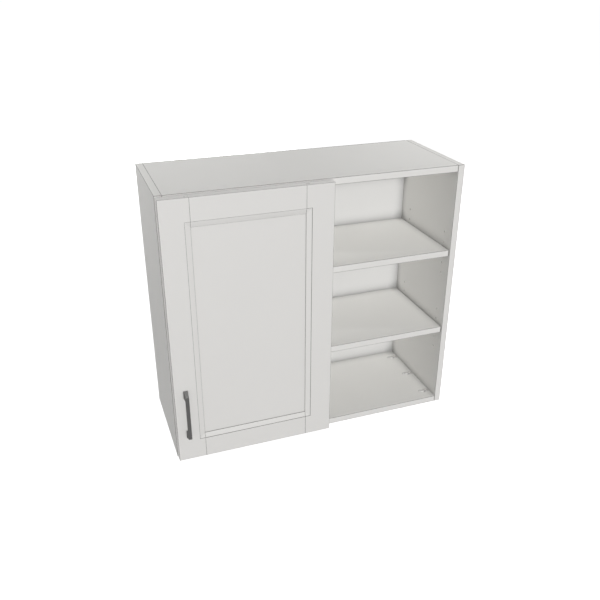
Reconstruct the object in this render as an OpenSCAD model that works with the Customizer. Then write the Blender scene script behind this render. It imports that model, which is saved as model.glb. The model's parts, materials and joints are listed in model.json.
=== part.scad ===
// Blind corner wall cabinet: a frameless case with one framed door and two adjustable shelves.
// Millimetres, +Z up. The wall is at +Y, the door faces -Y, and z = 0 is under the case.

/* [Case] */
// Width over both sides
case_w = 838.2; // [760:0.1:1000]
// Height of the sides
case_h = 762; // [600:0.1:1000]
// Depth of the case without the door
case_d = 304.8; // [280:0.1:400]
// Thickness of the sides, the top, the bottom, the rail and the post
panel_t = 19.05; // [16:0.05:22]
// Thickness of the back
back_t = 6.35; // [5:0.05:9]
// How far the back reaches into the rebate of each panel
back_lap = 9.5; // [7:0.1:11]
// Play of the back in its rebate, on each side
back_play = 0.25; // [0.1:0.05:0.5]
// Thickness of the strips glued on the front edges
band_t = 1; // [0.5:0.1:2]
// Joint between two strips
band_joint = 0.1; // [0.05:0.05:0.3]

/* [Hanging rail] */
// Height of the rail
rail_h = 88.9; // [70:0.1:120]
// Diameter of the holes for the wall screws
wall_hole_d = 5.5; // [4.5:0.1:6.5]
// Distance across between the wall screws
wall_pitch = 406.4; // [300:0.1:610]
// Distance up between the wall screws
wall_rise = 50.8; // [30:0.1:60]

/* [Shelves] */
// Thickness of a shelf
shelf_t = 19.05; // [16:0.05:22]
// How far the shelf's front lies behind the case's front
shelf_setback = 3.2; // [2:0.1:20]
// Play at each end of a shelf and behind it
shelf_play = 1.5; // [0.5:0.1:3]
// Gap between a shelf's notch and the post
notch_play = 2; // [0.5:0.1:4]
// Diameter of the support holes
pin_hole_d = 5; // [5:0.1:6]
// Depth of the support holes
pin_hole_deep = 11; // [9:0.1:13]
// Distance up from hole to hole
pin_pitch = 32; // [25:0.5:40]
// Support holes above and below the middle one
pin_spread = 2; // [1:1:2]
// Distance of the front column from the case's front
pin_front = 37; // [30:0.5:60]
// Distance between the two columns
pin_columns = 208; // [160:0.5:224]
// How far the holes lie under the shelf's underside
pin_drop = 0.8; // [0.4:0.1:1.5]

/* [Shelf supports] */
// Diameter of the shank
pin_d = 4.9; // [4.5:0.05:4.95]
// Length of the shank in the panel
pin_l = 10; // [7:0.1:10.5]
// Length of the ledge under the shelf
ledge_l = 10; // [8:0.1:14]
// Width of the ledge
ledge_w = 12; // [9:0.1:16]
// Thickness of the ledge
ledge_t = 2.6; // [2:0.1:4]
// Height of the leaf against the panel
leaf_h = 15; // [10:0.1:20]
// Thickness of the leaf against the panel
leaf_t = 1.4; // [1:0.1:2]

/* [Panel connectors] */
// Diameter of the three bores that make a pocket
lobe_d = 15; // [14:0.1:16]
// Distance from the panel's end to the first bore
lobe_first = 10.5; // [9.5:0.1:12]
// Distance from bore to bore
lobe_pitch = 9; // [7:0.1:11]
// Depth of a pocket
pocket_deep = 12.4; // [11.8:0.1:13]
// Depth of the connector's top in the outer bore
lobe_top = 1.2; // [0.4:0.1:2]
// How far the connector's top steps down from bore to bore towards the side
lobe_step = 1.3; // [0.6:0.1:1.8]
// Play of a connector in its pocket
pocket_play = 0.1; // [0.05:0.05:0.3]
// Depth of the screw's axis under the panel's face where it enters the side
bolt_down = 9.2; // [8.8:0.1:9.6]
// Angle at which the screw slopes down towards the side
bolt_slope = 20; // [14:0.5:21]
// Distance along the screw from the side to the seat of its head
bolt_seat = 12; // [11:0.1:14]
// Diameter of the connector screw
bolt_d = 5; // [4:0.1:5.5]
// Diameter of the connector screw's head
bolt_head_d = 7; // [6:0.1:7.4]
// Length of the connector screw's head
bolt_head_l = 3.2; // [2.5:0.1:4]
// Width of the six-sided socket in the head
socket_w = 3; // [2.5:0.1:4]
// Depth of the socket
socket_deep = 2; // [1:0.1:2.4]
// How far the connector screw goes into the side
bolt_bite = 12; // [9:0.1:13]
// Distance of the front connector from the case's front
bolt_front = 38; // [30:0.5:60]
// Distance of the rear connector from the case's rear
bolt_rear = 46.5; // [40:0.5:70]

/* [Dowels] */
// Diameter of a dowel
dowel_d = 8; // [6:0.1:8]
// Length of a dowel in a panel's face
dowel_face = 12; // [9:0.1:13]
// Length of a dowel in a panel's end
dowel_end = 18; // [12:0.1:22]
// Space at each end of a dowel
dowel_space = 0.6; // [0.3:0.1:1.5]
// Play round a dowel and round a screw in wood
wood_play = 0.05; // [0.02:0.01:0.1]

/* [Back screws] */
// Diameter of a back screw
tack_d = 3; // [2.5:0.1:3.5]
// Diameter of its head
tack_head_d = 6; // [5:0.1:7]
// Length of a back screw
tack_l = 18; // [14:0.1:20]

/* [Hinge post] */
// Depth of the post
post_d = 88.9; // [75:0.1:110]

/* [Door] */
// Width of the door
door_w = 448; // [400:0.1:500]
// Thickness of the door
door_t = 22.2; // [20:0.1:25]
// Gap between the closed door and the case
door_gap = 3.2; // [3:0.1:3.5]
// How far the case shows past the door's left edge
side_reveal = 1.6; // [0.5:0.1:4]
// How far the case shows over and under the door
end_reveal = 3.2; // [0.5:0.1:6]
// Width of the stiles and the rails
stile_w = 76.2; // [65:0.1:90]
// Width of the moulding on their inner edges
bead_w = 14.5; // [10:0.1:18]
// Depth of the moulding's outer step
bead_step = 0.7; // [0.4:0.1:1.2]
// Depth that the moulding slopes down
bead_fall = 3.8; // [2.5:0.1:4.2]
// Depth of the panel's face under the door's face
panel_set = 6; // [5.6:0.1:8]
// Thickness of the door's panel
leaf_panel_t = 6.35; // [5:0.05:8]
// Depth of the groove that holds the panel
groove_deep = 10; // [8:0.1:12]
// Space between the panel's edge and the bottom of its groove
groove_space = 1.6; // [0.5:0.1:3]
// Space between a rail's tongue and the bottom of its groove
tongue_space = 0.2; // [0.1:0.1:0.5]
// Play of the panel and the tongues across the groove
groove_play = 0.1; // [0.05:0.05:0.2]
// Chamfer round the door's face
door_chamfer = 1; // [0.5:0.1:2]

/* [Pull] */
// Distance between the pull's two screws
pull_pitch = 128; // [96:1:160]
// Height of a foot on the door
foot_h = 24; // [18:0.1:28]
// Width of a foot on the door
foot_w = 12.6; // [11:0.1:16]
// How far each end draws in from the door to the grip
foot_rake = 8; // [3:0.1:10]
// Width of the grip
grip_w = 9.6; // [8:0.1:11]
// Thickness of the grip
grip_t = 7.6; // [6:0.1:10]
// How far the pull stands out from the door
pull_reach = 22; // [20:0.1:36]
// Distance of the pull from the door's left edge
pull_edge = 31; // [24:0.1:40]
// Height of the pull's middle over the door's lower edge
pull_up = 150; // [110:1:400]
// Diameter of the pull's screws
pull_screw_d = 4; // [3.5:0.1:4]
// How far the screws go into the pull
pull_screw_bite = 9; // [6:0.1:12]
// Diameter of their heads
pull_head_d = 8.2; // [7:0.1:9]
// Thickness of their heads
pull_head_t = 2.4; // [1.8:0.1:2.6]
// Radial play of the screws in the door
pull_hole_play = 0.3; // [0.1:0.05:0.6]

/* [Door buffers] */
// Diameter of a buffer
buffer_d = 9; // [6:0.1:12]
// Gap that a buffer leaves to the case
buffer_gap = 0.2; // [0.1:0.05:0.4]
// Distance of the buffers from the door's ends
buffer_end = 22; // [14:0.5:40]

/* [Hinges] */
// How far the door covers the post
overlay = 17.5; // [16:0.1:18]
// Distance of each hinge from the door's end
hinge_end = 100; // [80:1:130]
// Diameter of a cup
cup_d = 35; // [35:0.1:36]
// Depth of a cup
cup_deep = 14.2; // [14:0.1:15]
// Distance of a cup from the door's edge
cup_edge = 3; // [2.8:0.1:3.2]
// Thickness of the cup's flange
flange_t = 1.2; // [1:0.1:1.4]
// Distance between the two screws of a cup
cup_screw_pitch = 45; // [42:0.5:52]
// Distance of the screws behind the cup's middle
cup_screw_back = 9.5; // [5.5:0.1:9.5]
// Radius of the flange round a screw
ear_r = 6.5; // [5.5:0.1:7.5]
// Diameter of the cup's screws
cup_screw_d = 3.5; // [3:0.1:4]
// Length of the cup's screws
cup_screw_l = 13; // [10:0.1:15]
// Diameter of the heads of the cup's screws
cup_head_d = 7; // [6:0.1:8]
// Thickness of the heads of the cup's screws
cup_head_t = 1; // [0.8:0.1:1.4]
// Distance of the pivot from the door's edge
pivot_edge = 7.8; // [7.6:0.05:7.9]
// Depth of the pivot in the door
pivot_deep = 10; // [9.9:0.05:10.1]
// Diameter of the hinge pin
hinge_pin_d = 3; // [2.8:0.1:3.2]
// Length of the hinge pin
hinge_pin_l = 19; // [15:0.5:20]
// Radial play of the pin in the arm
pin_play = 0.05; // [0.02:0.01:0.09]
// Radial play of the pin in the cup
pin_seat = 0.02; // [0.01:0.01:0.05]
// Radius of the arm's eye
eye_r = 3; // [2.8:0.05:3.1]
// Width of the arm's neck
neck_w = 8.2; // [7:0.1:8.3]
// Gap between the neck and each cheek of the cup
cheek_gap = 0.35; // [0.3:0.05:0.45]
// Thickness of the arm
arm_t = 3.4; // [3:0.1:3.6]
// Distance from the pivot to the arm's leg
neck_l = 19.5; // [19:0.1:20.5]
// Radius of the bend at the middle of the arm's thickness
bend_r = 4.5; // [3:0.1:6]
// Length of the arm behind the case's front
arm_l = 60; // [56:0.5:66]
// Thickness of the arm's side walls
arm_wall = 1.8; // [1.4:0.1:2.4]
// Play between the arm and its mounting plate
arm_play = 0.2; // [0.1:0.05:0.3]
// Thickness of the mounting plate's wings
wing_t = 2; // [1.6:0.1:2.6]
// Width of the mounting plate's wings
wing_w = 14; // [12:0.5:18]
// Width of the mounting plate's ridge
ridge_w = 9.4; // [8:0.1:10]
// Length of the mounting plate's ridge
ridge_l = 46; // [44:0.5:50]
// How far the ridge's middle lies in front of the plate's screws
ridge_shift = 3; // [2:0.5:3.5]
// Distance of the plate's screws from the case's front
plate_front = 37; // [34:0.5:40]
// Distance between the plate's two screws
plate_pitch = 32; // [28:0.5:36]
// Diameter of the plate's screws
plate_screw_d = 5; // [4:0.1:6]
// Length of the plate's screws in the post
plate_screw_l = 12; // [9:0.1:14]
// Diameter of the heads of the plate's screws
plate_head_d = 9; // [7:0.1:10]
// Thickness of the heads of the plate's screws
plate_head_t = 1.8; // [1.4:0.1:2.2]
// Diameter of the arm's two adjusting screws
adjust_d = 4; // [3.5:0.1:4.5]
// Diameter of their heads
adjust_head_d = 7.4; // [6.5:0.1:8]
// Thickness of their heads
adjust_head_t = 1.8; // [1.4:0.1:2.4]
// Distance of the front one behind the case's front
adjust_front = 15; // [13:0.5:16]
// Distance of the rear one behind the case's front
adjust_rear = 49; // [46:0.5:50]

/* [Hidden] */
$fn = 48;
past = 1;
half = 0.5;
slit_w = 0.8;
slit_deep = 0.9;

rear_y = (case_d + door_gap + door_t + pull_reach) / 2;
front_y = rear_y - case_d;
core_y = front_y + band_t;
core_d = case_d - band_t;
side_x = case_w / 2 - panel_t;
top_z = case_h - panel_t;
inner_h = case_h - 2 * panel_t;
bay_h = (inner_h - 2 * shelf_t) / 3;
lower_z = panel_t + bay_h;
upper_z = lower_z + shelf_t + bay_h;

back_w = case_w - 2 * (panel_t - back_lap);
back_h = case_h - 2 * (panel_t - back_lap);
back_y = rear_y - back_t;
rail_y = back_y - panel_t;
rail_z = top_z - rail_h;
wall_z = rail_z + rail_h / 2;

shelf_x = side_x - shelf_play;
shelf_y = front_y + shelf_setback;
shelf_core_y = shelf_y + band_t;
shelf_rear_y = back_y - shelf_play;

bolt_mid = (bolt_front + case_d - bolt_rear) / 2;
bolt_ys = [front_y + bolt_front, front_y + bolt_mid, rear_y - bolt_rear];
dowel_ys = [(bolt_ys[0] + bolt_ys[1]) / 2, (bolt_ys[1] + bolt_ys[2]) / 2];
lobe_last = lobe_first + 2 * lobe_pitch;

door_left = side_reveal - case_w / 2;
door_right = door_left + door_w;
door_back = front_y - door_gap;
door_front = door_back - door_t;
door_low = end_reveal;
door_high = case_h - end_reveal;
door_h = door_high - door_low;
hole_left = door_left + stile_w;
hole_right = door_right - stile_w;
hole_low = door_low + stile_w;
hole_high = door_high - stile_w;
groove_y = door_front + panel_set;
panel_lap = groove_deep - groove_space;
tongue_l = groove_deep - tongue_space;
tongue_y = groove_y + groove_play;
groove_t = leaf_panel_t + 2 * groove_play;

post_x = door_right - overlay;
post_rear_y = front_y + post_d;
post_ys = [front_y + post_d * 0.25, front_y + post_d * 0.75];

pull_x = door_left + pull_edge;
pull_z = door_low + pull_up;
pull_l = pull_pitch + foot_h;
grip_l = pull_l - 2 * foot_rake;
buffer_t = door_gap - buffer_gap;
buffer_x = door_left + (panel_t - side_reveal) / 2;

hinge_zs = [door_low + hinge_end, door_high - hinge_end];
cup_r = cup_d / 2;
cup_u = cup_edge + cup_r - overlay;
pivot_u = pivot_edge - overlay;
pivot_v = door_gap + pivot_deep;
leg_u = pivot_u + neck_l;
arm_low = leg_u - arm_t / 2;
arm_high = leg_u + arm_t / 2;
slot_w = neck_w + 2 * cheek_gap;
eye_space = 0.45;
well_w = 17;
well_step = 2;
well_from = pivot_u + eye_r + well_step;
arm_w = ridge_w + 2 * (arm_play + arm_wall);
saddle_u = arm_low - arm_play;
arm_wall_l = arm_l - 3 * arm_t;

// Shared cutters and placing

module both_sides() {
    children();
    mirror([1, 0, 0]) children();
}

// Draws a piece made for the lower right corner at all four corners of the case.
module four_corners() {
    both_sides() {
        children();
        translate([0, 0, case_h]) mirror([0, 0, 1]) children();
    }
}

module along_x(d, l) {
    rotate([0, 90, 0]) cylinder(d = d, h = l);
}

module along_y(d, l) {
    rotate([-90, 0, 0]) cylinder(d = d, h = l);
}

module back_rebate() {
    translate([-back_w / 2 - back_play, back_y, (case_h - back_h) / 2 - back_play])
        cube([back_w + 2 * back_play, back_t + past, back_h + 2 * back_play]);
}

// The two screws of one pattern go across, and the pattern repeats higher up.
module wall_holes() {
    for (x = [-half, half], z = [-half, half])
        translate([x * wall_pitch, rail_y - past, wall_z + z * wall_rise])
            along_y(wall_hole_d, panel_t + back_t + 2 * past);
}

module dowel_hole(l) {
    translate([0, 0, -l]) cylinder(d = dowel_d + 2 * wood_play, h = l + past);
}

module end_dowel() {
    translate([0, 0, -dowel_end]) cylinder(d = dowel_d, h = dowel_end + dowel_face);
}

// Places what points out of the right end of the bottom panel.
module at_panel_dowels() {
    for (y = dowel_ys) translate([side_x, y, panel_t / 2]) rotate([0, 90, 0]) children();
}

module at_rail_dowels() {
    for (z = [0.25, 0.75])
        translate([side_x, rail_y + panel_t / 2, rail_z + z * rail_h]) rotate([0, 90, 0]) children();
}

module at_post_dowels() {
    for (y = post_ys) translate([post_x + panel_t / 2, y, panel_t]) rotate([180, 0, 0]) children();
}

module at_bolts() {
    for (y = bolt_ys) translate([side_x, y, panel_t]) children();
}

// Lays what points along X on the sloping axis of a connector screw.
module on_bolt() {
    translate([0, 0, -bolt_down]) rotate([0, bolt_slope, 0]) children();
}

module pin_holes() {
    for (shelf_z = [lower_z, upper_z], y = [0, pin_columns], i = [-pin_spread:pin_spread])
        translate([side_x - past, front_y + pin_front + y, shelf_z - pin_drop + i * pin_pitch])
            along_x(pin_hole_d, pin_hole_deep + past);
}

// Case

module side_panel() {
    difference() {
        translate([side_x, core_y, 0]) cube([panel_t, core_d, case_h]);
        back_rebate();
        pin_holes();
        for (k = [0, 1]) translate([0, 0, k * case_h]) mirror([0, 0, k]) {
            at_bolts() on_bolt() translate([-bolt_d, 0, 0])
                along_x(bolt_d + 2 * wood_play, bolt_d + bolt_bite + dowel_space);
            at_panel_dowels() mirror([0, 0, 1]) dowel_hole(dowel_face + dowel_space);
        }
        at_rail_dowels() mirror([0, 0, 1]) dowel_hole(dowel_face + dowel_space);
        at_tacks_side() tack(wood_play, dowel_space);
    }
}

module right_side() {
    color("white") side_panel();
}

module left_side() {
    color("white") mirror([1, 0, 0]) side_panel();
}

// Each of the three bores of a pocket, or each lobe of a connector, has its own top.
module pocket(d, deep, tops) {
    for (i = [0:2]) translate([-lobe_first - i * lobe_pitch, 0, -deep])
        cylinder(d = d, h = deep - tops[i]);
}

module level_panel() {
    difference() {
        translate([-side_x, core_y, 0]) cube([2 * side_x, core_d, panel_t]);
        back_rebate();
        both_sides() {
            at_bolts() {
                pocket(lobe_d, pocket_deep, [-past, -past, -past]);
                on_bolt() translate([-lobe_first, 0, 0])
                    along_x(bolt_d + 2 * wood_play, lobe_first + bolt_d);
            }
            at_panel_dowels() dowel_hole(dowel_end + dowel_space);
        }
        at_post_dowels() mirror([0, 0, 1]) dowel_hole(dowel_face + dowel_space);
        at_tacks_level() tack(wood_play, dowel_space);
    }
}

module bottom_panel() {
    color("white") level_panel();
}

module top_panel() {
    color("white") translate([0, 0, case_h]) mirror([0, 0, 1]) level_panel();
}

// One back screw lies along Y with its head flush with the rear of the back.
module tack(play, space) {
    translate([0, rear_y - tack_l - space, 0]) along_y(tack_d + 2 * play, tack_l + space);
    translate([0, rear_y - tack_head_d / 2, 0]) rotate([-90, 0, 0])
        cylinder(d1 = tack_d + 2 * play, d2 = tack_head_d + 2 * play, h = tack_head_d / 2);
}

module at_tacks_side() {
    for (k = [1:4]) translate([(back_w - back_lap) / 2, 0, k * case_h / 5]) children();
}

module at_tacks_level() {
    for (k = [-2:2]) translate([k * back_w / 5, 0, (case_h - back_h + back_lap) / 2]) children();
}

module at_tacks_rail() {
    for (k = [-2:2]) translate([k * back_w / 5, 0, wall_z]) children();
}

module all_tacks(play, space) {
    both_sides() at_tacks_side() tack(play, space);
    for (k = [0, 1]) translate([0, 0, k * case_h]) mirror([0, 0, k]) at_tacks_level() tack(play, space);
    at_tacks_rail() tack(play, space);
}

module back_screws() {
    color("silver") all_tacks(0, 0);
}

module back_panel() {
    color("white") difference() {
        translate([-back_w / 2, back_y, (case_h - back_h) / 2]) cube([back_w, back_t, back_h]);
        wall_holes();
        all_tacks(wood_play, 0);
    }
}

module hanging_rail() {
    color("white") difference() {
        translate([-side_x, rail_y, rail_z]) cube([2 * side_x, panel_t, rail_h]);
        wall_holes();
        both_sides() at_rail_dowels() dowel_hole(dowel_end + dowel_space);
        at_tacks_rail() tack(wood_play, dowel_space);
    }
}

module hinge_post() {
    color("white") difference() {
        translate([post_x, core_y, panel_t]) cube([panel_t, post_d - band_t, inner_h]);
        for (k = [0, 1]) translate([0, 0, k * case_h]) mirror([0, 0, k])
            at_post_dowels() dowel_hole(dowel_end + dowel_space);
        at_hinges() at_plate_screws() translate([-plate_screw_l - dowel_space, 0, 0])
            along_x(plate_screw_d + 2 * wood_play, plate_screw_l + dowel_space + past);
    }
}

module case_edge_strips() {
    color("gainsboro") {
        both_sides() translate([side_x, front_y, 0]) cube([panel_t, band_t, case_h]);
        for (z = [0, top_z]) translate([band_joint - side_x, front_y, z])
            cube([2 * (side_x - band_joint), band_t, panel_t]);
        translate([post_x, front_y, panel_t + band_joint])
            cube([panel_t, band_t, inner_h - 2 * band_joint]);
    }
}

module panel_dowels() {
    color("burlywood") four_corners() at_panel_dowels() end_dowel();
}

module rail_dowels() {
    color("burlywood") both_sides() at_rail_dowels() end_dowel();
}

module post_dowels() {
    color("burlywood") for (k = [0, 1]) translate([0, 0, k * case_h]) mirror([0, 0, k])
        at_post_dowels() end_dowel();
}

// Shelves

module notch(d) {
    translate([post_x - notch_play, front_y - past, 0])
        cube([panel_t + 2 * notch_play, d + past, case_h]);
}

module shelf(z) {
    difference() {
        translate([-shelf_x, shelf_core_y, z])
            cube([2 * shelf_x, shelf_rear_y - shelf_core_y, shelf_t]);
        notch(post_d + notch_play);
    }
}

module lower_shelf() {
    color("white") shelf(lower_z);
}

module upper_shelf() {
    color("white") shelf(upper_z);
}

module shelf_edge_strips() {
    color("gainsboro") for (z = [lower_z, upper_z]) difference() {
        translate([-shelf_x, shelf_y, z]) cube([2 * shelf_x, band_t, shelf_t]);
        notch(post_d);
    }
}

// The shelf lies on the ledge, and the leaf stands against the side under it.
// The shank is cut level with the ledge outside its hole.
module shelf_support() {
    difference() {
        union() {
            translate([-leaf_t / 2, 0, -pin_drop]) along_x(pin_d, pin_l + leaf_t / 2);
            translate([-ledge_l, -ledge_w / 2, -leaf_h]) cube([ledge_l, ledge_w, leaf_h]);
        }
        translate([-ledge_l - leaf_t, -ledge_w, -leaf_h - ledge_t])
            cube([ledge_l, 2 * ledge_w, leaf_h]);
        translate([-ledge_l, -ledge_w, 0]) cube([ledge_l, 2 * ledge_w, pin_d]);
    }
}

module shelf_supports() {
    color("silver") both_sides()
        for (z = [lower_z, upper_z], y = [0, pin_columns])
            translate([side_x, front_y + pin_front + y, z]) shelf_support();
}

// Panel connectors

// The top steps down towards the side, and the screw's head comes in along the slope.
module connector() {
    difference() {
        pocket(lobe_d - 2 * pocket_play, pocket_deep - pocket_play,
            [lobe_top + 2 * lobe_step, lobe_top + lobe_step, lobe_top]);
        on_bolt() {
            translate([-bolt_seat - lobe_last, 0, 0]) along_x(bolt_head_d + 4 * pocket_play, lobe_last);
            translate([-bolt_seat - past, 0, 0]) along_x(bolt_d + 2 * pocket_play, bolt_seat + past);
        }
    }
}

module panel_connectors() {
    color("lightgrey") four_corners() at_bolts() connector();
}

module connector_screws() {
    color("silver") four_corners() at_bolts() on_bolt() difference() {
        union() {
            translate([-bolt_seat - bolt_head_l / 2, 0, 0])
                along_x(bolt_d, bolt_head_l / 2 + bolt_seat + bolt_bite);
            translate([-bolt_seat - bolt_head_l, 0, 0]) along_x(bolt_head_d, bolt_head_l);
        }
        translate([-bolt_seat - bolt_head_l - past, 0, 0]) rotate([0, 90, 0])
            cylinder(d = socket_w, h = past + socket_deep, $fn = 6);
    }
}

// Door

// The outline of the door with its face chamfered, cut off to one member by the children.
module door_member() {
    intersection() {
        translate([0, 0, door_low]) linear_extrude(door_h) polygon([
            [door_left, door_back], [door_left, door_front + door_chamfer],
            [door_left + door_chamfer, door_front], [door_right - door_chamfer, door_front],
            [door_right, door_front + door_chamfer], [door_right, door_back]
        ]);
        translate([door_left, 0, 0]) rotate([90, 0, 90]) linear_extrude(door_w) polygon([
            [door_back, door_low], [door_front + door_chamfer, door_low],
            [door_front, door_low + door_chamfer], [door_front, door_high - door_chamfer],
            [door_front + door_chamfer, door_high], [door_back, door_high]
        ]);
        children();
    }
}

// The moulding's profile across the opening, from its outer step down to the inner edge.
function bead(low, high) = [
    [low - bead_w, door_front - past], [high + bead_w, door_front - past],
    [high + bead_w, door_front + bead_step], [high, door_front + bead_step + bead_fall],
    [low, door_front + bead_step + bead_fall], [low - bead_w, door_front + bead_step]
];

function turned(points) = [for (p = points) [p[1], p[0]]];

// Two crossed prisms leave the moulding mitred in the corners.
module bead_cut() {
    intersection() {
        linear_extrude(case_h) polygon(bead(hole_left, hole_right));
        translate([-case_w / 2, 0, 0]) rotate([90, 0, 90]) linear_extrude(case_w)
            polygon(turned(bead(hole_low, hole_high)));
    }
}

module stile(x, inner_x) {
    difference() {
        door_member() translate([x, door_front, door_low]) cube([stile_w, door_t, door_h]);
        bead_cut();
        translate([inner_x - groove_deep, groove_y, door_low - past])
            cube([2 * groove_deep, groove_t, door_h + 2 * past]);
    }
}

module door_left_stile() {
    color("whitesmoke") difference() {
        stile(door_left, hole_left);
        at_pull_screws() translate([0, -past, 0])
            along_y(pull_screw_d + 2 * pull_hole_play, door_t + 2 * past);
    }
}

module door_right_stile() {
    color("whitesmoke") difference() {
        stile(door_right - stile_w, hole_right);
        at_hinges() {
            translate([cup_u, door_gap - past, 0]) along_y(cup_d + 2 * pocket_play,
                cup_deep + pocket_play + past);
            at_cup_screws() along_y(cup_screw_d + 2 * wood_play, cup_screw_l + dowel_space);
        }
    }
}

// A rail's tongue runs past both ends into the grooves of the stiles.
module door_rail(z, inner_z) {
    difference() {
        union() {
            door_member() translate([hole_left, door_front, z])
                cube([hole_right - hole_left, door_t, stile_w]);
            translate([hole_left - tongue_l, tongue_y, z + door_chamfer])
                cube([hole_right - hole_left + 2 * tongue_l, leaf_panel_t,
                    stile_w - 2 * door_chamfer]);
        }
        bead_cut();
        translate([hole_left - groove_deep, groove_y, inner_z - groove_deep])
            cube([hole_right - hole_left + 2 * groove_deep, groove_t, 2 * groove_deep]);
    }
}

module door_top_rail() {
    color("whitesmoke") door_rail(hole_high, hole_high);
}

module door_bottom_rail() {
    color("whitesmoke") door_rail(door_low, hole_low);
}

module door_panel() {
    color("whitesmoke") translate([hole_left - panel_lap, tongue_y, hole_low - panel_lap])
        cube([hole_right - hole_left + 2 * panel_lap, leaf_panel_t, hole_high - hole_low + 2 * panel_lap]);
}

// Pull

module at_pull_screws() {
    for (z = [-half, half]) translate([pull_x, door_front, pull_z + z * pull_pitch]) children();
}

// Both feet at once: raked ends and flanks, open between the feet behind the grip.
module bar_pull() {
    color("dimgray") difference() {
        translate([pull_x, door_front, pull_z]) intersection() {
            translate([-foot_w, 0, 0]) rotate([90, 0, 90]) linear_extrude(2 * foot_w) polygon([
                [0, -pull_l / 2], [-pull_reach, -grip_l / 2], [-pull_reach, grip_l / 2],
                [0, pull_l / 2], [0, pull_l / 2 - foot_h],
                [grip_t - pull_reach, grip_l / 2 - foot_h + foot_rake],
                [grip_t - pull_reach, foot_h - foot_rake - grip_l / 2],
                [0, foot_h - pull_l / 2]
            ]);
            translate([0, 0, -pull_l]) linear_extrude(2 * pull_l) polygon([
                [-foot_w / 2, 0], [-grip_w / 2, grip_t - pull_reach], [-grip_w / 2, -pull_reach],
                [grip_w / 2, -pull_reach], [grip_w / 2, grip_t - pull_reach], [foot_w / 2, 0]
            ]);
        }
        at_pull_screws() translate([0, -pull_screw_bite - dowel_space, 0])
            along_y(pull_screw_d + 2 * wood_play, pull_screw_bite + dowel_space + past);
    }
}

module pull_screws() {
    color("silver") at_pull_screws() difference() {
        union() {
            translate([0, -pull_screw_bite, 0])
                along_y(pull_screw_d, pull_screw_bite + door_t + pull_head_t / 2);
            translate([0, door_t, 0]) along_y(pull_head_d, pull_head_t);
        }
        translate([-pull_head_d, door_t + pull_head_t - slit_deep, -slit_w / 2])
            cube([2 * pull_head_d, slit_deep + past, slit_w]);
    }
}

module door_buffers() {
    color("lightgrey") for (z = [door_low + buffer_end, door_high - buffer_end])
        translate([buffer_x, door_back, z]) rotate([-90, 0, 0]) {
            cylinder(d = buffer_d, h = buffer_t / 2);
            translate([0, 0, buffer_t / 2])
                cylinder(d1 = buffer_d, d2 = buffer_d - buffer_t, h = buffer_t / 2);
        }
}

// Hinges: u runs from the post into the case, v from the case's front towards the door.

module at_hinges() {
    for (z = hinge_zs) translate([post_x, front_y, z]) rotate([0, 0, 180]) children();
}

module at_cup_screws() {
    for (w = [-half, half])
        translate([cup_u + cup_screw_back, door_gap, w * cup_screw_pitch]) children();
}

module at_plate_screws() {
    for (w = [-half, half]) translate([0, -plate_front, w * plate_pitch]) children();
}

module cup_flange() {
    rotate([90, 0, 0]) linear_extrude(flange_t) {
        for (w = [-half, half]) translate([cup_u + cup_screw_back, w * cup_screw_pitch]) circle(r = ear_r);
        translate([cup_u + cup_screw_back - ear_r, -cup_screw_pitch / 2])
            square([2 * ear_r, cup_screw_pitch]);
    }
}

module hinge_cups() {
    color("silver") at_hinges() difference() {
        union() {
            translate([cup_u, door_gap - flange_t, 0]) along_y(cup_d, cup_deep + flange_t);
            translate([0, door_gap, 0]) cup_flange();
        }
        translate([pivot_u - eye_r - eye_space, door_gap - flange_t - past, -slot_w / 2])
            cube([neck_l + eye_r + arm_t + 2 * eye_space, pivot_deep + eye_r + eye_space + flange_t + past,
                slot_w]);
        translate([well_from, door_gap - flange_t - past, -well_w / 2])
            cube([neck_l, pivot_deep + flange_t + past, well_w]);
        translate([pivot_u, pivot_v, -cup_r]) cylinder(d = hinge_pin_d + 2 * pin_seat, h = cup_d);
        at_cup_screws() translate([0, -flange_t - past, 0])
            along_y(cup_screw_d + 2 * wood_play, flange_t + 2 * past);
    }
}

module hinge_pins() {
    color("silver") at_hinges() translate([pivot_u, pivot_v, -hinge_pin_l / 2])
        cylinder(d = hinge_pin_d, h = hinge_pin_l);
}

module cup_screws() {
    color("silver") at_hinges() at_cup_screws() difference() {
        union() {
            translate([0, -flange_t - cup_head_t / 2, 0])
                along_y(cup_screw_d, cup_screw_l + flange_t + cup_head_t / 2);
            translate([0, -flange_t - cup_head_t, 0]) along_y(cup_head_d, cup_head_t);
        }
        translate([-cup_head_d, -flange_t - cup_head_t - past, -slit_w / 2])
            cube([2 * cup_head_d, cup_head_t / 2 + past, slit_w]);
    }
}

// The arm as seen from above: eye, neck, bend and leg in one outline.
module arm_outline() {
    translate([pivot_u, pivot_v]) circle(r = eye_r);
    translate([pivot_u, pivot_v - arm_t / 2]) square([neck_l - bend_r, arm_t]);
    translate([leg_u - bend_r, pivot_v - bend_r]) intersection() {
        difference() {
            circle(r = bend_r + arm_t / 2);
            circle(r = bend_r - arm_t / 2);
        }
        square(bend_r + arm_t);
    }
    translate([arm_low, -arm_l / 2]) square([arm_t, pivot_v - bend_r + arm_l / 2]);
}

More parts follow.
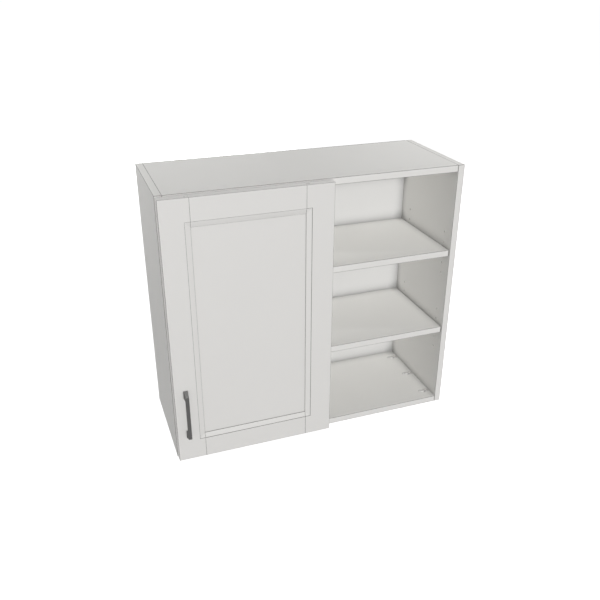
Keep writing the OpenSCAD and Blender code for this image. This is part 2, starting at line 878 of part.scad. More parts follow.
module hinge_arms() {
    color("silver") at_hinges() difference() {
        union() {
            translate([0, 0, -neck_w / 2]) linear_extrude(neck_w) arm_outline();
            translate([arm_low, -arm_l, -arm_w / 2]) cube([arm_t, arm_l - arm_t, arm_w]);
            for (w = [-half, half])
                translate([wing_t + 2 * arm_play, -arm_l, w * (arm_w - arm_wall) - arm_wall / 2])
                    cube([arm_low - wing_t, arm_wall_l, arm_wall]);
        }
        translate([pivot_u, pivot_v, -neck_w]) cylinder(d = hinge_pin_d + 2 * pin_play, h = 2 * neck_w);
        for (v = [adjust_front, adjust_rear]) translate([arm_low - past, -v, 0])
            along_x(adjust_d + 2 * arm_play, arm_t + 2 * past);
        translate([arm_low - past, -adjust_rear, -adjust_d / 2 - arm_play])
            cube([arm_t + 2 * past, adjust_d, adjust_d + 2 * arm_play]);
        // The walls are cut out beside the plate's wings.
        translate([0, -plate_front - wing_w / 2 - arm_play, -arm_w])
            cube([wing_t + arm_play, wing_w + 2 * arm_play, 2 * arm_w]);
    }
}

module mounting_plates() {
    color("silver") at_hinges() difference() {
        union() {
            plate_wings();
            translate([0, ridge_shift - plate_front - ridge_l / 2, -ridge_w / 2])
                cube([saddle_u, ridge_l, ridge_w]);
        }
        at_plate_screws() translate([-past, 0, 0])
            along_x(plate_screw_d + 2 * wood_play, wing_t + 2 * past);
        for (v = [adjust_front, adjust_rear]) translate([wing_t, -v, 0])
            along_x(adjust_d + 2 * wood_play, saddle_u);
    }
}

// The two wings are one strip with round ends along the height of the post.
module plate_wings() {
    translate([0, -plate_front - wing_w / 2, -plate_pitch / 2]) cube([wing_t, wing_w, plate_pitch]);
    at_plate_screws() along_x(wing_w, wing_t);
}

module plate_screws() {
    color("silver") at_hinges() at_plate_screws() difference() {
        union() {
            translate([-plate_screw_l, 0, 0])
                along_x(plate_screw_d, plate_screw_l + wing_t + plate_head_t / 2);
            translate([wing_t, 0, 0]) along_x(plate_head_d, plate_head_t);
        }
        translate([wing_t + plate_head_t - slit_deep, -plate_head_d, -slit_w / 2])
            cube([slit_deep + past, 2 * plate_head_d, slit_w]);
    }
}

module adjusting_screws() {
    color("silver") at_hinges() for (v = [adjust_front, adjust_rear]) translate([0, -v, 0]) difference() {
        union() {
            translate([2 * wing_t, 0, 0]) along_x(adjust_d, arm_high - 2 * wing_t);
            translate([arm_high, 0, 0]) along_x(adjust_head_d, adjust_head_t);
        }
        translate([arm_high + adjust_head_t - slit_deep, -adjust_head_d, -slit_w / 2])
            cube([slit_deep + past, 2 * adjust_head_d, slit_w]);
    }
}

left_side();
right_side();
top_panel();
bottom_panel();
back_panel();
hanging_rail();
hinge_post();
case_edge_strips();
upper_shelf();
lower_shelf();
shelf_edge_strips();
shelf_supports();
panel_connectors();
connector_screws();
panel_dowels();
rail_dowels();
post_dowels();
back_screws();
mounting_plates();
plate_screws();
hinge_arms();
adjusting_screws();
door_left_stile();
door_right_stile();
door_top_rail();
door_bottom_rail();
door_panel();
bar_pull();
pull_screws();
door_buffers();
hinge_cups();
hinge_pins();
cup_screws();
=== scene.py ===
import json
import math

import bmesh
import bpy
import numpy as np
from mathutils import Matrix, Vector


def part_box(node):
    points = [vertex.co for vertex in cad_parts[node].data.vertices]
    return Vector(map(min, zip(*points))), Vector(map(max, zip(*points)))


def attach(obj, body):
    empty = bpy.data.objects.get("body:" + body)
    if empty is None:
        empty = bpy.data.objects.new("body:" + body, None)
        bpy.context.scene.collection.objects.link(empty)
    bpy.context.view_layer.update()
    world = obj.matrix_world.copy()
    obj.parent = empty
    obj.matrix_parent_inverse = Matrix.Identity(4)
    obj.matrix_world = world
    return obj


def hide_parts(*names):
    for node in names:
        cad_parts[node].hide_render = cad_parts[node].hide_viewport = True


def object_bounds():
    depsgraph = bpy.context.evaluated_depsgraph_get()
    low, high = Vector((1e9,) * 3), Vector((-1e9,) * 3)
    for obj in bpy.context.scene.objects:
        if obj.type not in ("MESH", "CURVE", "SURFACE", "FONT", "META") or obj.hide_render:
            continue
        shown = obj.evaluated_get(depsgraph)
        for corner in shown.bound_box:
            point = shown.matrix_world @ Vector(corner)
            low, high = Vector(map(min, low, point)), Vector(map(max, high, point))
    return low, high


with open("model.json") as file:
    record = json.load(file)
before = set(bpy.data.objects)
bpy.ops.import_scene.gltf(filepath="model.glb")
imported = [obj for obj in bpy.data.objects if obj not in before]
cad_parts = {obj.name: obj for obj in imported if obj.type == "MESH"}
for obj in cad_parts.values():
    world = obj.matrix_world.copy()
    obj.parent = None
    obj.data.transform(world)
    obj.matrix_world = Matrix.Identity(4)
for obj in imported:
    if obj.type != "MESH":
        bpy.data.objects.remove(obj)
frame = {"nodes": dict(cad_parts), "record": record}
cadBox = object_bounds()
nodes = frame["nodes"]
bodyOf = {node: body for body, members in frame["record"]["behaviour"]["bodies"].items()
          for node in members}
slotOf = {row["node"]: row["material_slot"] for row in frame["record"]["subparts"]}
scene = bpy.context.scene
scene.view_settings.view_transform = "Standard"

# The camera stands in front of the cabinet and to its left, and looks down on it.
cameraSetup = {
    "place": (-0.63059, -1.71214, 1.26059),
    "azimuth": 20.001,  # degrees to the right of the wall's direction
    "elevation": 26.189,
    "roll": 0.167,
    "focalPixels": 694.62,  # focal length in pixels of a 600 pixel wide image
    "imageWidth": 600,
    "sensor": 36.0,
}


def makeCamera(setup):
    data = bpy.data.cameras.new("camera")
    data.sensor_width = setup["sensor"]
    data.lens = setup["focalPixels"] * setup["sensor"] / setup["imageWidth"]
    data.clip_start, data.clip_end = 0.05, 100
    camera = bpy.data.objects.new("camera", data)
    scene.collection.objects.link(camera)
    turn = Matrix.Rotation(math.radians(-setup["azimuth"]), 4, "Z")
    tilt = Matrix.Rotation(math.radians(90 - setup["elevation"]), 4, "X")
    roll = Matrix.Rotation(math.radians(setup["roll"]), 4, "Z")
    camera.matrix_world = Matrix.Translation(setup["place"]) @ turn @ tilt @ roll
    scene.camera = camera
    print("camera: lens", round(data.lens, 2))


makeCamera(cameraSetup)


def addNode(tree, kind, settings=None, **inputs):
    # Adds a shader node, sets its properties, and sets or links its inputs by name or number.
    node = tree.nodes.new("ShaderNode" + kind)
    for key, value in (settings or {}).items():
        setattr(node, key, value)
    for key, value in inputs.items():
        socket = node.inputs[int(key[2:]) if key.startswith("in") else key.replace("_", " ")]
        if isinstance(value, bpy.types.NodeSocket):
            tree.links.new(value, socket)
        else:
            socket.default_value = value
    return node


def newTree(owner):
    owner.use_nodes = True
    owner.node_tree.nodes.clear()
    return owner.node_tree


# Even room light and two lamps without shadows keep the insides of the bays as bright as the
# outside. The key lamp stands far off in front and high up, a little to the left. The side lamp
# stands close, so that the left side fades downwards, and two more light the right side and rear.
studio = {
    "roomColor": (1.0, 0.997, 0.99),
    "roomStrength": 0.26,
    "target": (0, 0, 0.38),
    "lamps": {  # place, size, watts, shadow
        "keyLamp": ((-1.3, -8.0, 3.1), 3.0, 438, False),
        "topLamp": ((1.3, 0.3, 1.8), 1.2, 11.2, False),
        "sideLamp": ((-0.95, 0.2, 1.02), 0.5, 1.1, True),
        "rightLamp": ((3.2, 1.3, 0.6), 1.2, 18, True),
        "rearLamp": ((0.3, 3.4, 0.5), 1.2, 45, True),
    },
    "floorColor": (0.45, 0.45, 0.45),
    "floorGlow": 0.9,  # seen by the camera and in reflections, on top of the lit floor
    "floorHalf": 30.0,
    "floorDrop": 0.04,
}


def shownRays(tree):
    # One for what the camera and reflections see, zero for the light on the object.
    path = addNode(tree, "LightPath")
    value = path.outputs["Is Camera Ray"]
    for kind in ("Is Glossy Ray", "Is Transmission Ray"):
        value = addNode(tree, "Math", {"operation": "MAXIMUM"}, in0=value,
                        in1=path.outputs[kind]).outputs[0]
    return value


def makeStudio(setup):
    scene.world = bpy.data.worlds.new("studioRoom")
    tree = newTree(scene.world)
    lit = addNode(tree, "Background", Color=(*setup["roomColor"], 1), Strength=setup["roomStrength"])
    seen = addNode(tree, "Background", Color=(1, 1, 1, 1), Strength=1.0)
    shown = shownRays(tree)
    mix = addNode(tree, "MixShader", in0=shown, in1=lit.outputs[0], in2=seen.outputs[0])
    addNode(tree, "OutputWorld", Surface=mix.outputs[0])

    for name, (place, size, power, shadow) in setup["lamps"].items():
        data = bpy.data.lights.new(name, "AREA")
        data.shape, data.size = "SQUARE", size
        data.energy, data.use_shadow = power, shadow
        lamp = bpy.data.objects.new(name, data)
        scene.collection.objects.link(lamp)
        lamp.visible_camera = False
        lamp.location = place
        lamp.rotation_mode = "QUATERNION"
        lamp.rotation_quaternion = (Vector(setup["target"]) - Vector(place)).to_track_quat("-Z", "Y")

    half, low = setup["floorHalf"], -setup["floorDrop"]
    mesh = bpy.data.meshes.new("floor")
    mesh.from_pydata([(-half, -half, low), (half, -half, low), (half, half, low), (-half, half, low)],
                     [], [(0, 1, 2, 3)])
    floor = bpy.data.objects.new("floor", mesh)
    scene.collection.objects.link(floor)
    material = bpy.data.materials.new("floorPaper")
    tree = newTree(material)
    paper = addNode(tree, "BsdfDiffuse", Color=(*setup["floorColor"], 1))
    shown = shownRays(tree)
    strength = addNode(tree, "Math", {"operation": "MULTIPLY"}, in0=shown, in1=setup["floorGlow"])
    glow = addNode(tree, "Emission", Strength=strength.outputs[0])
    both = addNode(tree, "AddShader", in0=paper.outputs[0], in1=glow.outputs[0])
    addNode(tree, "OutputMaterial", Surface=both.outputs[0])
    mesh.materials.append(material)
    print("studio: floor, room light and", len(setup["lamps"]), "lamps")


makeStudio(studio)


# Materials read Object coordinates, which are metres in the cabinet's own frame.
crease = {"bend": 1.7, "samples": 12, "least": 0.15}


def creaseShade(tree, color, look):
    # Darkens the colour where another face stands close. The shade is 1 - depth * c ** bend,
    # where c is the share of the view that the near faces cover, and never less than a least value.
    near = addNode(tree, "AmbientOcclusion", {"samples": crease["samples"]},
                   Distance=look["creaseReach"])
    cover = addNode(tree, "Math", {"operation": "SUBTRACT"}, in0=1.0, in1=near.outputs["AO"])
    bent = addNode(tree, "Math", {"operation": "POWER"}, in0=cover.outputs[0], in1=crease["bend"])
    deep = addNode(tree, "Math", {"operation": "MULTIPLY"}, in0=bent.outputs[0],
                   in1=look["creaseDepth"])
    shade = addNode(tree, "Math", {"operation": "SUBTRACT"}, in0=1.0, in1=deep.outputs[0])
    least = addNode(tree, "Math", {"operation": "MAXIMUM"}, in0=shade.outputs[0],
                    in1=look.get("creaseLeast", crease["least"]))
    return addNode(tree, "VectorMath", {"operation": "SCALE"}, in0=color,
                   Scale=least.outputs[0]).outputs["Vector"]


# Coated board, lacquer and plastic: the colour drifts a little over a hand's width, and a fine
# grain in the bump and the roughness gives the satin face.
paintSpread = 0.06  # of the roughness


def paintMaterial(name, look):
    material = bpy.data.materials.new(name)
    tree = newTree(material)
    place = addNode(tree, "TexCoord").outputs["Object"]
    drift = addNode(tree, "TexNoise", Vector=place, Scale=look["driftScale"], Detail=3.0)
    low = tuple(c * (1 - look["drift"]) for c in look["color"])
    high = tuple(min(c * (1 + look["drift"]), 1) for c in look["color"])
    tint = addNode(tree, "Mix", {"data_type": "RGBA"}, in0=drift.outputs["Fac"],
                   in6=(*low, 1), in7=(*high, 1)).outputs[2]
    if look["creaseDepth"] > 0:
        tint = creaseShade(tree, tint, look)
    grain = addNode(tree, "TexNoise", Vector=place, Scale=look["grainScale"], Detail=2.0)
    rough = addNode(tree, "MapRange", Value=grain.outputs["Fac"],
                    To_Min=look["roughness"] - paintSpread, To_Max=look["roughness"] + paintSpread)
    bump = addNode(tree, "Bump", Strength=look["grainStrength"], Distance=look["grainDepth"],
                   Height=grain.outputs["Fac"])
    shader = addNode(tree, "BsdfPrincipled", Base_Color=tint, Roughness=rough.outputs["Result"],
                     Specular_IOR_Level=look["specular"], Normal=bump.outputs["Normal"])
    addNode(tree, "OutputMaterial", Surface=shader.outputs[0])
    return material


# Plated or coated metal: fine scratches run along one direction of the piece.
def metalMaterial(name, look):
    material = bpy.data.materials.new(name)
    tree = newTree(material)
    place = addNode(tree, "TexCoord").outputs["Object"]
    spread = addNode(tree, "Mapping", Vector=place, Scale=look["brush"])
    lines = addNode(tree, "TexNoise", Vector=spread.outputs["Vector"], Scale=1.0, Detail=4.0)
    rough = addNode(tree, "MapRange", Value=lines.outputs["Fac"],
                    To_Min=look["roughness"] - look["roughSpread"],
                    To_Max=look["roughness"] + look["roughSpread"])
    tint = addNode(tree, "Mix", {"data_type": "RGBA"}, in0=lines.outputs["Fac"],
                   in6=(*look["color"], 1), in7=(*look["colorHigh"], 1)).outputs[2]
    tint = creaseShade(tree, tint, look)
    bump = addNode(tree, "Bump", Strength=look["bump"], Distance=look["scratchDepth"],
                   Height=lines.outputs["Fac"])
    shader = addNode(tree, "BsdfPrincipled", Base_Color=tint, Metallic=look["metallic"],
                     Roughness=rough.outputs["Result"], Normal=bump.outputs["Normal"])
    addNode(tree, "OutputMaterial", Surface=shader.outputs[0])
    return material


boardPaint = {"drift": 0.012, "driftScale": 7.0, "roughness": 0.5, "specular": 0.14,
              "grainStrength": 0.12, "grainDepth": 0.0001, "creaseReach": 0.034,
              "creaseDepth": 1.1, "creaseLeast": 0.5}
seamPaint = {"drift": 0.06, "driftScale": 60.0, "roughness": 0.6, "specular": 0.2,
             "grainScale": 1500.0, "grainStrength": 0.2, "grainDepth": 0.0001, "creaseDepth": 0.0}
rimPaint = {**seamPaint, "drift": 0.03, "roughness": 0.5, "grainStrength": 0.1}
finishes = {
    "caseBoard": {**boardPaint, "color": (0.792, 0.785, 0.762), "grainScale": 1400.0},
    "backBoard": {**boardPaint, "color": (0.715, 0.712, 0.705), "grainScale": 1100.0},
    "edgeStrip": {"color": (0.80, 0.79, 0.772), "drift": 0.008, "driftScale": 9.0, "roughness": 0.42,
                  "specular": 0.3, "grainScale": 900.0, "grainStrength": 0.1,
                  "grainDepth": 0.0001, "creaseReach": 0.014, "creaseDepth": 0.6},
    "doorLacquer": {"color": (0.785, 0.775, 0.758), "drift": 0.01, "driftScale": 5.0,
                    "roughness": 0.42, "specular": 0.18, "grainScale": 520.0,
                    "grainStrength": 0.1, "grainDepth": 0.0001, "creaseReach": 0.006,
                    "creaseDepth": 1.1},
    "stripSeam": {**seamPaint, "color": (0.72, 0.71, 0.69)},
    "caseSeam": {**seamPaint, "color": (0.30, 0.295, 0.285)},
    "doorSeam": {**seamPaint, "color": (0.17, 0.166, 0.16)},
    # The rim finishes paint the sides of the door's chamfer darker and its top less so; the darker one
    # also stands as painted shade on the moulding's inner lip.
    "doorRim": {**rimPaint, "color": (0.30, 0.295, 0.285)},
    "doorTopRim": {**rimPaint, "color": (0.42, 0.414, 0.405)},
    "boardCore": {"color": (0.60, 0.585, 0.555), "drift": 0.18, "driftScale": 900.0, "roughness": 0.85,
                  "specular": 0.2, "grainScale": 1800.0, "grainStrength": 0.6,
                  "grainDepth": 0.0003, "creaseReach": 0.008, "creaseDepth": 0.6},
    "connectorPlastic": {"color": (0.75, 0.745, 0.73), "drift": 0.02, "driftScale": 90.0,
                         "roughness": 0.5, "specular": 0.3, "grainScale": 1800.0,
                         "grainStrength": 0.2, "grainDepth": 0.0001, "creaseReach": 0.004,
                         "creaseDepth": 0.5},
    "dowelWood": {"color": (0.62, 0.46, 0.30), "drift": 0.15, "driftScale": 300.0, "roughness": 0.7,
                  "specular": 0.3, "grainScale": 1500.0, "grainStrength": 0.3,
                  "grainDepth": 0.0001, "creaseReach": 0.01, "creaseDepth": 0.6},
    "bufferSoft": {"color": (0.75, 0.75, 0.73), "drift": 0.01, "driftScale": 90.0, "roughness": 0.3,
                   "specular": 0.5, "grainScale": 900.0, "grainStrength": 0.1,
                   "grainDepth": 0.0001, "creaseReach": 0.005, "creaseDepth": 0.6},
}
pullCoating = {"brush": (900.0, 900.0, 40.0), "roughness": 0.38, "roughSpread": 0.08,
               "metallic": 0.0, "bump": 0.2, "scratchDepth": 0.00005, "creaseReach": 0.01,
               "creaseDepth": 0.6}
metals = {
    "pullGraphite": {**pullCoating, "color": (0.068, 0.067, 0.066), "colorHigh": (0.09, 0.088, 0.086)},
    # The pull's upward end is painted lighter as if lit and its glint is a painted highlight; its edge
    # finish draws the outlines and also paints shade on the sides.
    "pullEnd": {**pullCoating, "color": (0.17, 0.168, 0.165), "colorHigh": (0.21, 0.208, 0.205)},
    "pullEdge": {**pullCoating, "color": (0.03, 0.03, 0.03), "colorHigh": (0.045, 0.044, 0.043),
                 "roughness": 0.45, "creaseDepth": 0.0},
    "pullGlint": {**pullCoating, "color": (0.42, 0.418, 0.41), "colorHigh": (0.5, 0.495, 0.49),
                  "creaseDepth": 0.0},
    "hingeNickel": {"color": (0.60, 0.595, 0.58), "colorHigh": (0.72, 0.71, 0.69),
                    "brush": (120.0, 120.0, 1800.0), "roughness": 0.3, "roughSpread": 0.08,
                    "metallic": 1.0, "bump": 0.15, "scratchDepth": 0.00005,
                    "creaseReach": 0.006, "creaseDepth": 1.0},
    "screwZinc": {"color": (0.56, 0.56, 0.57), "colorHigh": (0.72, 0.72, 0.73),
                  "brush": (700.0, 700.0, 700.0), "roughness": 0.34, "roughSpread": 0.1,
                  "metallic": 1.0, "bump": 0.2, "scratchDepth": 0.00005,
                  "creaseReach": 0.002, "creaseDepth": 1.2},
}
materials = {name: paintMaterial(name, look) for name, look in finishes.items()}
materials.update({name: metalMaterial(name, look) for name, look in metals.items()})

# The record's slots and the finishes that stand for them.
finishOf = {
    "case_board": "caseBoard", "back_board": "backBoard", "edge_strip": "edgeStrip",
    "door_lacquer": "doorLacquer", "pull_metal": "pullGraphite", "hinge_steel": "hingeNickel",
    "screw_steel": "screwZinc", "connector_plastic": "connectorPlastic",
    "dowel_wood": "dowelWood", "buffer_rubber": "bufferSoft",
}
for name, piece in nodes.items():
    piece.data.materials.clear()
    piece.data.materials.append(materials[finishOf[slotOf[name]]])
print("materials:", len(materials))


def addPiece(name, mesh, node, *finish):
    # Makes the object that stands for a node, riding on that node's body.
    piece = bpy.data.objects.new(name, mesh)
    scene.collection.objects.link(piece)
    for one in (finishOf[slotOf[node]], *finish):
        mesh.materials.append(materials[one])
    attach(piece, bodyOf[node])
    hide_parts(node)
    return piece


# Softened copies. The outer edges of a board, strip or fitting get a narrow rounding in the
# seam's finish, and bores show the board's core. "band" adds a line of that width inside the
# edges of the faces that look towards "bandTo": at all of them, the rear one or the moulding.
board = {"width": 0.0007, "segments": 2, "seam": "caseSeam", "finishes": ("boardCore", "stripSeam")}
doorMember = {
    "segments": 2, "seam": "doorSeam", "finishes": ("doorRim", "doorTopRim"),
    "plainRim": 0.0012,  # the chamfer round the door's face lies within this
    "hidden": (0.0052, 0.0215),  # depths between which the grooves and tongues lie
    "step": 0.0009,  # depth of the step where the moulding begins
    "lip": 0.0062,  # depth of the moulding's inner lip
    "slant": 0.3,  # a chamfer's normal has more than this towards front and side
    "upright": 0.1,  # a face square to the front has less than this towards it
    "bandTo": (0, -1, 0), "bandAt": "moulding",
}
pull = {
    "nodes": ("bar_pull",), "width": 0.0006, "segments": 2, "seam": "pullEdge", "sharpAngle": 20,
    "finishes": ("pullEnd", "pullGlint"),
    "sideways": 0.9,  # least share of the normal on the sides painted dark as shade
    "upwards": 0.4,  # and on the end painted lighter as if lit
    "glint": (0.1, 0.1, 0.7),  # painted glint: least upwards, most sideways and least forwards
}
softening = {
    "weld": 1e-6,
    "near": 0.0001,  # points closer than this count as touching
    "flatAngle": 0.2,  # degrees between triangles of one flat face
    "sharpAngle": 40,  # outer edges sharper than this get a seam
    "plainAngle": 30,  # and those round the door's face a plain rounding
    "smoothAngle": 14,  # sharper edges show as edges
    "rimLength": 0.002,  # shorter edges belong to round rims
    "rimWidth": 0.0003,
    "facing": 0.99,  # least share of the normal on a banded face
    "smallFace": 1e-4,  # square metres: bores have smaller faces, banded faces are larger
    "mouldingFrom": 0.055,  # from the door's outer edges
    "groups": [
        {**board, "nodes": ("left_side", "right_side", "hinge_post", "upper_shelf", "lower_shelf")},
        {**board, "nodes": ("hanging_rail",), "finishes": ("boardCore",)},
        {**board, "nodes": ("bottom_panel",), "rim": 0.0006},
        {**board, "nodes": ("top_panel",), "rim": 0.0006, "bandTo": (0, 0, 1), "band": 0.004,
         "bandAt": "rear"},
        {**board, "nodes": ("back_panel",), "width": 0.0005, "finishes": ("boardCore",)},
        {"nodes": ("case_edge_strips", "shelf_edge_strips"), "width": 0.0007, "segments": 3,
         "seam": "caseSeam", "only": "front", "bandTo": (0, -1, 0), "band": 0.0005, "bandAt": "all"},
        {**doorMember, "nodes": ("door_left_stile", "door_top_rail"), "width": 0.0004, "band": 0.0003},
        {**doorMember, "nodes": ("door_right_stile", "door_bottom_rail"), "width": 0.0005,
         "band": 0.0006},
        pull,
        {"nodes": ("hinge_cups", "hinge_arms", "mounting_plates", "shelf_supports"),
         "width": 0.0003, "segments": 2, "seam": "hingeNickel"},
        {"nodes": ("panel_connectors",), "width": 0.0007, "segments": 2, "seam": "caseSeam"},
    ],
}


def fromRim(point, doorBox):
    # The distance in the door's plane to its nearest outer edge.
    low, high = doorBox
    return min(point.x - low.x, high.x - point.x, point.z - low.z, high.z - point.z)


def pickEdges(shape, look, setup, low):
    # Returns the outer edges that get a seam, those round the door's face, and round rims.
    angles = {edge: edge.calc_face_angle() for edge in shape.edges
              if len(edge.link_faces) == 2 and edge.is_convex}
    least = math.radians(look.get("sharpAngle", setup["sharpAngle"]))
    sharp = [edge for edge, angle in angles.items() if angle > least]

    # The strips are thin, so only their front edges are rounded.
    if look.get("only") == "front":
        sharp = [edge for edge in sharp
                 if max(v.co.y for v in edge.verts) < low.y + setup["near"]]

    # The edges in the grooves stay sharp.
    if "hidden" in look:
        shallow, deep = (low.y + depth for depth in look["hidden"])
        sharp = [edge for edge in sharp
                 if all(v.co.y < shallow for v in edge.verts) or all(v.co.y > deep for v in edge.verts)]

    # The edges round the door's face are softened without a seam.
    plain = []
    if "plainRim" in look:
        plain = [edge for edge, angle in angles.items() if angle > math.radians(setup["plainAngle"])
                 and all(max(v.co.y - low.y, fromRim(v.co, setup["doorBox"])) < look["plainRim"]
                         for v in edge.verts)]
        sharp = [edge for edge in sharp if edge not in plain]

    rims = [edge for edge in sharp if edge.calc_length() < setup["rimLength"]]
    edges = [edge for edge in sharp if edge.calc_length() >= setup["rimLength"]]
    return edges, plain, rims


def addBand(shape, look, setup, high):
    # Insets the wide faces and gives the ring the seam's finish where the line is wanted.
    towards = Vector(look["bandTo"])
    wide = [face for face in shape.faces
            if face.normal.dot(towards) > setup["facing"] and face.calc_area() > setup["smallFace"]]
    ring = bmesh.ops.inset_individual(shape, faces=wide, thickness=look["band"],
                                      use_even_offset=True)["faces"]
    for face in ring:
        middle = face.calc_center_median()
        kept = {"all": True, "rear": middle.y > high.y - 2 * look["band"],
                "moulding": fromRim(middle, setup["doorBox"]) > setup["mouldingFrom"]}
        if kept[look["bandAt"]]:
            face.material_index = 1


def tintDoorMember(shape, look, setup, low):
    # The chamfer round the door's face is painted darker at the sides, and less so at the top. The
    # step where the moulding begins is in the seam's finish, and its inner lip is painted darker as
    # shade in that recess.
    for face in shape.faces:
        middle = face.calc_center_median()
        deep, aside = middle.y - low.y, fromRim(middle, setup["doorBox"])
        if max(deep, aside) < look["plainRim"] and face.normal.y < -look["slant"]:
            if abs(face.normal.x) > look["slant"]:
                face.material_index = 2
            elif face.normal.z > look["slant"]:
                face.material_index = 3
        elif abs(face.normal.y) < look["upright"] and aside > setup["mouldingFrom"]:
            if deep < look["step"]:
                face.material_index = 1
            # painted shade on the wall of the moulding's inner lip
            elif deep < look["lip"]:
                face.material_index = 2


def tintPull(shape, look):
    # Painted light and shade: the pull's sides are painted darker as shade, and the end that faces
    # upwards is painted lighter as if lit from above, with a painted glint at the edge where the grip
    # begins.
    up, aside, forwards = look["glint"]
    for face in shape.faces:
        if abs(face.normal.x) > look["sideways"]:
            face.material_index = 1
        elif face.material_index == 0 and face.normal.z > look["upwards"]:
            face.material_index = 2
        elif face.normal.z > up and abs(face.normal.x) < aside and face.normal.y < -forwards:
            face.material_index = 3


def tintBoard(shape, look, setup, low, high):
    # The seam behind a glued strip is lighter, and the small faces inside are those of bores.
    inset = setup["rimWidth"] + setup["near"]
    for face in shape.faces:
        middle = face.calc_center_median()
        inside = all(low[i] + inset < middle[i] < high[i] - inset for i in range(3))
        if face.material_index == 1:
            if "stripSeam" in look["finishes"] and middle.y < low.y + look["width"]:
                face.material_index = 3
        elif face.material_index == 0 and inside and face.calc_area() < setup["smallFace"]:
            face.material_index = 2


def softenNode(name, look, setup):
    low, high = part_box(name)
    finishes = look.get("finishes", ())
    shape = bmesh.new()
    shape.from_mesh(nodes[name].data)
    bmesh.ops.remove_doubles(shape, verts=shape.verts, dist=setup["weld"])
    bmesh.ops.dissolve_limit(shape, angle_limit=math.radians(setup["flatAngle"]), verts=shape.verts,
                             edges=shape.edges, delimit={"NORMAL"})

    edges, plain, rims = pickEdges(shape, look, setup, low)
    for group, width, index in ((edges, look["width"], 1), (plain, setup["rimWidth"], 0),
                                (rims, look.get("rim", setup["rimWidth"]), 1)):
        group = [edge for edge in group if edge.is_valid]
        if group:
            bmesh.ops.bevel(shape, geom=group, offset=width, offset_type="OFFSET",
                            segments=look["segments"], profile=0.5, affect="EDGES",
                            clamp_overlap=False, material=index)
    bmesh.ops.dissolve_degenerate(shape, dist=setup["weld"], edges=shape.edges)

    if "band" in look:
        addBand(shape, look, setup, high)
    if "doorRim" in finishes:
        tintDoorMember(shape, look, setup, low)
    if "pullEnd" in finishes:
        tintPull(shape, look)
    if "boardCore" in finishes:
        tintBoard(shape, look, setup, low, high)

    mesh = bpy.data.meshes.new(name + "_soft")
    shape.to_mesh(mesh)
    shape.free()
    mesh.polygons.foreach_set("use_smooth", np.ones(len(mesh.polygons), dtype=bool))
    mesh.set_sharp_from_angle(angle=math.radians(setup["smoothAngle"]))
    return addPiece(name + "_soft", mesh, name, look["seam"], *finishes)


doorCorners = np.array([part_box(name) for name in nodes
                        if name.startswith("door_") and name != "door_buffers"])
softening["doorBox"] = (Vector(doorCorners[:, 0].min(axis=0)), Vector(doorCorners[:, 1].max(axis=0)))
for look in softening["groups"]:
    for name in look["nodes"]:
        softenNode(name, look, softening)
    print("softened:", ", ".join(look["nodes"]))


# Turned pieces: a profile of radius and height turned about an axis. The height of the rings
# on the head also falls by the cross recess.
turnedAngle = 35  # degrees, sharper edges show as edges


def turnedSurface(radius, height, sectors, recess=None):
    # Point (i, j) lies at radius[i] and angle 2 pi j / sectors, at height[i] less the recess.
    # The first and the last ring are single points.
    angle = np.arange(sectors) * 2 * np.pi / sectors
    x = radius[1:-1, None] * np.cos(angle)
    y = radius[1:-1, None] * np.sin(angle)
    z = np.repeat(height[1:-1, None], sectors, axis=1)
    top = height[0]
    if recess:
        z = z - crossDepth(x, y, height[1:-1, None] >= 0, recess)
        top = top - recess["depth"]
    rings = len(radius) - 2
    points = np.concatenate([np.stack([x, y, z], axis=-1).reshape(-1, 3),
                             [[0, 0, top], [0, 0, height[-1]]]])
    grid = np.arange(rings * sectors).reshape(rings, sectors)
    after = np.roll(grid, -1, axis=1)
    quads = np.stack([grid[:-1], grid[1:], after[1:], after[:-1]], axis=-1).reshape(-1, 4)
    first = np.full(sectors, rings * sectors)
    caps = np.concatenate([np.stack([first, grid[0], after[0]], axis=-1),
                           np.stack([first + 1, after[-1], grid[-1]], axis=-1)])
    return points, quads, caps


def crossDepth(x, y, onHead, recess):
    # Two crossed slots: the depth is full inside a slot's width and length and falls off
    # linearly over the width of its wall. Only the head's own rings are cut.
    def slot(a, b):
        across = np.clip((recess["width"] / 2 - np.abs(a)) / recess["wall"] + 0.5, 0, 1)
        along = np.clip((recess["length"] / 2 - np.abs(b)) / recess["wall"] + 0.5, 0, 1)
        return np.minimum(across, along)
    cut = np.maximum(slot(x, y), slot(y, x)) * recess["depth"]
    return np.where(onHead, cut, 0)


def placeCopies(name, node, surface, places, axis):
    # Turns +Z of the surface to the axis and sets one copy at each place.
    points, quads, caps = surface
    turn = np.array(Vector((0, 0, 1)).rotation_difference(Vector(axis)).to_matrix())
    placed = (points @ turn.T)[None] + np.asarray(places)[:, None]
    step = len(points) * np.arange(len(placed))[:, None, None]
    faces = (quads[None] + step).reshape(-1, 4).tolist() + (caps[None] + step).reshape(-1, 3).tolist()
    mesh = bpy.data.meshes.new(name)
    mesh.from_pydata(placed.reshape(-1, 3).tolist(), [], faces)
    mesh.polygons.foreach_set("use_smooth", np.ones(len(mesh.polygons), dtype=bool))
    mesh.set_sharp_from_angle(angle=math.radians(turnedAngle))
    return addPiece(name, mesh, node)


backScrew = {
    "head": 0.003, "shank": 0.0015, "length": 0.018, "point": 0.002, "rings": 16, "sectors": 48,
    "across": 0.16382,  # from one to the next along top, rail and bottom
    "up": 0.1524,  # from one to the next up the sides
    "low": 0.0143,  # from the case's top and underside
    "side": 0.4048,  # from the middle to those in the sides
    "recess": {"width": 0.0009, "length": 0.0036, "depth": 0.0011, "wall": 0.0003},
}


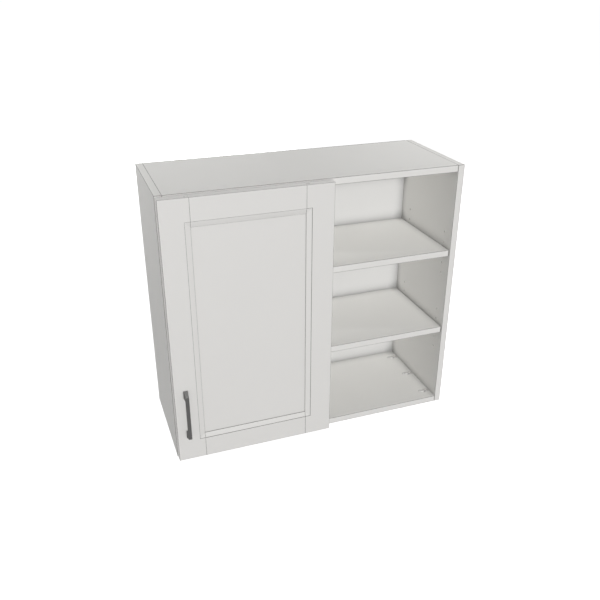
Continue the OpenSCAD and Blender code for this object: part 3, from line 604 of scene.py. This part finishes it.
def makeBackScrews(look):
    # A flat countersunk head: rings from the middle to the rim, then the cone, shank and point.
    flat = np.linspace(0, look["head"], look["rings"])
    cone = look["head"] - look["shank"]
    radius = np.concatenate([flat, [look["shank"], look["shank"], 0]])
    height = np.concatenate([np.zeros(look["rings"]),
                             [-cone, look["point"] - look["length"], -look["length"]]])
    surface = turnedSurface(radius, height, look["sectors"], look["recess"])
    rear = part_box("back_screws")[1].y
    railLow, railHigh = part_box("hanging_rail")
    topZ = cadBox[1][2]
    levels = [(k * look["across"], rear, z) for k in range(-2, 3)
              for z in (look["low"], topZ - look["low"], (railLow.z + railHigh.z) / 2)]
    sides = [(x, rear, k * look["up"]) for x in (-look["side"], look["side"]) for k in range(1, 5)]
    placeCopies("back_screw_set", "back_screws", surface, levels + sides, (0, 1, 0))


makeBackScrews(backScrew)


# Pan-headed screws: the head's height over its radius r is h * (1 - (r / R) ** 4) ** 0.5.
panScrews = {
    "hinge": {"x": 0.0130, "y": -0.1287, "heights": (0.1032, 0.6588)},
    "pull": {"x": -0.3865, "heights": (0.0892, 0.2172)},
    "recess": {"width": 0.0010, "length": 0.0042, "depth": 0.0008, "wall": 0.0003},
    "deepest": 0.6,  # most of the recess's depth, as a share of the head's rise
    "rings": 22, "sectors": 48, "point": 0.001,
    "sets": {
        "plate_screws": {"head": 0.0045, "rise": 0.0018, "shank": 0.0025, "length": 0.014,
                         "axis": (-1, 0, 0), "offsets": [(-0.002, 0.037, -0.016),
                                                         (-0.002, 0.037, 0.016)]},
        "adjusting_screws": {"head": 0.0037, "rise": 0.0018, "shank": 0.002, "length": 0.0075,
                             "axis": (-1, 0, 0), "offsets": [(-0.0115, 0.015, 0),
                                                             (-0.0115, 0.049, 0)]},
        "cup_screws": {"head": 0.0035, "rise": 0.001, "shank": 0.00175, "length": 0.0142,
                       "axis": (0, 1, 0), "offsets": [(-0.0125, -0.002, -0.0225),
                                                      (-0.0125, -0.002, 0.0225)]},
        "pull_screws": {"head": 0.0041, "rise": 0.0024, "shank": 0.002, "length": 0.0312,
                        "axis": (0, 1, 0)},
    },
}


def makePanScrews(name, look, setup):
    share = np.linspace(0, 1, setup["rings"])
    radius = np.concatenate([share * look["head"], [look["shank"], look["shank"], 0]])
    height = np.concatenate([look["rise"] * np.sqrt(1 - share ** 4),
                             [0, setup["point"] - look["length"], -look["length"]]])
    deep = min(setup["recess"]["depth"], look["rise"] * setup["deepest"])
    recess = dict(setup["recess"], depth=deep)
    surface = turnedSurface(radius, height, setup["sectors"], recess)
    hinge, pull = setup["hinge"], setup["pull"]
    if name == "pull_screws":
        places = [(pull["x"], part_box("door_left_stile")[1].y, z) for z in pull["heights"]]
    else:
        places = [(hinge["x"] + x, hinge["y"] + y, z + level) for level in hinge["heights"]
                  for x, y, z in look["offsets"]]
    placeCopies(name[:-1] + "_set", name, surface, places, look["axis"])


for name, look in panScrews["sets"].items():
    makePanScrews(name, look, panScrews)


# Door buffers: domes whose height over the radius r is h * (1 - (r / R) ** 3).
buffer = {"radius": 0.0045, "height": 0.003, "rings": 12, "sectors": 40}


def makeBuffers(look):
    share = np.linspace(0, 1, look["rings"])
    radius = np.concatenate([share * look["radius"], [0]])
    height = np.concatenate([look["height"] * (1 - share ** 3), [0]])
    surface = turnedSurface(radius, height, look["sectors"])
    low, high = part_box("door_buffers")
    x = (low.x + high.x) / 2
    places = [(x, low.y, low.z + look["radius"]), (x, low.y, high.z - look["radius"])]
    placeCopies("door_buffer_set", "door_buffers", surface, places, (0, 1, 0))


makeBuffers(buffer)
print("turned pieces: screws and buffers")
